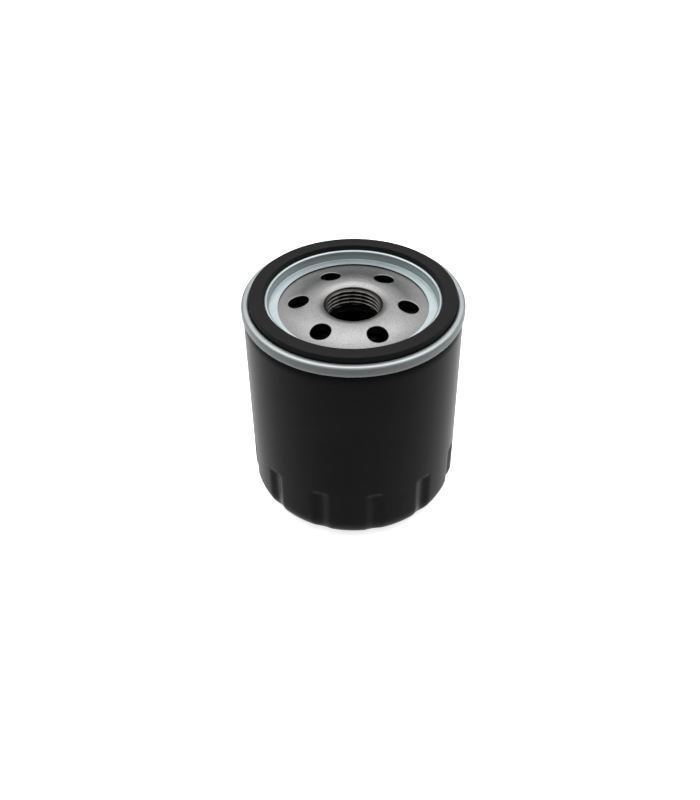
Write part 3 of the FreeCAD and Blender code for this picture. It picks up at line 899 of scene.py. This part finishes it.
# Brightness of the room against the height of a direction, behind and in front of the filter,
# then against how far behind it lies, above and below the horizon.
SKY = ((0.0, 0.05), (0.12, 0.07), (0.3, 0.145), (0.5, 0.43), (0.65, 0.85), (0.85, 1.25),
       (1.0, 1.35))
NEAR = ((0.0, 0.12), (0.4, 0.15), (0.65, 0.22), (0.85, 0.35), (1.0, 0.6))
FRONT = ((-1.0, 0.22), (-0.76, 0.24), (-0.33, 0.5), (-0.09, 0.85), (0.26, 1.0), (1.0, 1.0))
GROUND = ((-1.0, 0.1), (-0.76, 0.13), (-0.38, 0.2), (0.0, 0.31), (0.34, 0.47), (0.58, 0.7),
          (0.75, 1.05), (1.0, 1.15))
# Shares that blend NEAR into SKY, and GROUND into what lies above the horizon.
TURN_TO_SKY = ((-0.7, 0.0), (0.0, 1.0))
HORIZON = ((-0.08, 0.0), (0.04, 1.0))


def photo_camera():
    """Camera that sees the filter as the photo does."""
    data = bpy.data.cameras.new("camera")
    data.sensor_width = SENSOR
    data.lens = FOCAL_PIXELS * SENSOR / LONG_SIDE
    data.clip_start = 0.01
    camera = bpy.data.objects.new("camera", data)
    bpy.context.scene.collection.objects.link(camera)
    forward = Vector((math.sin(CAMERA_YAW) * math.cos(CAMERA_PITCH),
                      math.cos(CAMERA_YAW) * math.cos(CAMERA_PITCH), -math.sin(CAMERA_PITCH)))
    right = Vector((math.cos(CAMERA_YAW), -math.sin(CAMERA_YAW), 0))
    up = right.cross(forward)
    c, s = math.cos(CAMERA_ROLL), math.sin(CAMERA_ROLL)
    x, y = right * c + up * s, up * c - right * s
    matrix = Matrix((x, y, -forward)).transposed().to_4x4()
    matrix.translation = Vector((0, -CAMERA_BACK, HEIGHT * MM + CAMERA_RISE))
    camera.matrix_world = matrix
    bpy.context.scene.camera = camera


def white_stage(name, points, faces, glow, roughness, specular):
    """Staging surface: matt white with a glow of its own, unseen in reflections."""
    data = bpy.data.meshes.new(name)
    data.from_pydata(points, [], faces)
    thing = bpy.data.objects.new(name, data)
    bpy.context.scene.collection.objects.link(thing)
    paint = Paint(name, (0.9, 0.9, 0.9), roughness, specular=specular)
    paint.shader.inputs["Emission Color"].default_value = (1, 1, 1, 1)
    paint.shader.inputs["Emission Strength"].default_value = glow
    data.materials.append(paint.material)
    thing.visible_glossy = False
    return thing


def floor():
    """Bright sheet that the filter stands on."""
    reach = FLOOR_REACH
    corners = [(-reach, -reach, 0), (reach, -reach, 0), (reach, reach, 0), (-reach, reach, 0)]
    white_stage("floor", corners, [(0, 1, 2, 3)], FLOOR_GLOW, 0.8, 0.1)


def backdrop():
    """White screen round the floor, seen by the camera only."""
    sides = SCREEN_SIDES
    foot = circle(SCREEN_RADIUS, 0.0, sides)
    top = circle(SCREEN_RADIUS, SCREEN_TOP, sides)
    faces = [(i, (i + 1) % sides, (i + 1) % sides + sides, i + sides) for i in range(sides)]
    screen = white_stage("backdrop", foot + top, faces, SCREEN_GLOW, 0.9, 0.0)
    screen.visible_diffuse = False
    screen.visible_shadow = False


def soft_light(name, place, side, power):
    """Square light aimed at the filter's foot, unseen in reflections."""
    data = bpy.data.lights.new(name, "AREA")
    data.shape = "RECTANGLE"
    data.size, data.size_y = side, side
    data.energy = power
    light = bpy.data.objects.new(name, data)
    light.location = place
    light.rotation_euler = (-Vector(place)).to_track_quat("-Z", "Y").to_euler()
    light.visible_glossy = False
    bpy.context.scene.collection.objects.link(light)


def surroundings():
    """Room that the metal mirrors: bright overhead, dim low down and towards the camera."""
    world = bpy.data.worlds.new("studio")
    bpy.context.scene.world = world
    world.use_nodes = True
    tree = world.node_tree
    back = tree.nodes["Background"]
    place = tree.nodes.new("ShaderNodeTexCoord")
    split = tree.nodes.new("ShaderNodeSeparateXYZ")
    tree.links.new(place.outputs["Generated"], split.inputs[0])

    def ramp(source, stops, low, high):
        span = tree.nodes.new("ShaderNodeMapRange")
        span.inputs["From Min"].default_value = low
        span.inputs["From Max"].default_value = high
        tree.links.new(source, span.inputs["Value"])
        node = tree.nodes.new("ShaderNodeValToRGB")
        elements = node.color_ramp.elements
        elements.remove(elements[1])
        for i, (at, tone) in enumerate(stops):
            spot = (at - low) / (high - low)
            element = elements.new(spot) if i else elements[0]
            element.position = spot
            element.color = (tone, tone, tone, 1)
        tree.links.new(span.outputs["Result"], node.inputs["Fac"])
        return node.outputs["Color"]

    def join(kind, share, one, other):
        node = tree.nodes.new("ShaderNodeMix")
        node.data_type = "RGBA"
        node.blend_type = kind
        for socket, value in zip((node.inputs["Factor"], node.inputs[6], node.inputs[7]),
                                 (share, one, other)):
            if isinstance(value, float):
                socket.default_value = value
            else:
                tree.links.new(value, socket)
        return node.outputs[2]

    level, ahead = split.outputs["Z"], split.outputs["Y"]
    behind = join("MULTIPLY", 1.0, ramp(level, SKY, 0.0, 1.0), ramp(ahead, FRONT, -1.0, 1.0))
    near = ramp(level, NEAR, 0.0, 1.0)
    above = join("MIX", ramp(ahead, TURN_TO_SKY, -1.0, 1.0), near, behind)
    below = ramp(ahead, GROUND, -1.0, 1.0)
    room = join("MIX", ramp(level, HORIZON, -1.0, 1.0), below, above)
    tree.links.new(room, back.inputs["Color"])
    back.inputs["Strength"].default_value = 1.0


bpy.context.scene.view_settings.view_transform = "Standard"
photo_camera()
floor()
backdrop()
surroundings()
soft_light("overhead", (0, 0.1, 1.2), 1.6, 22)
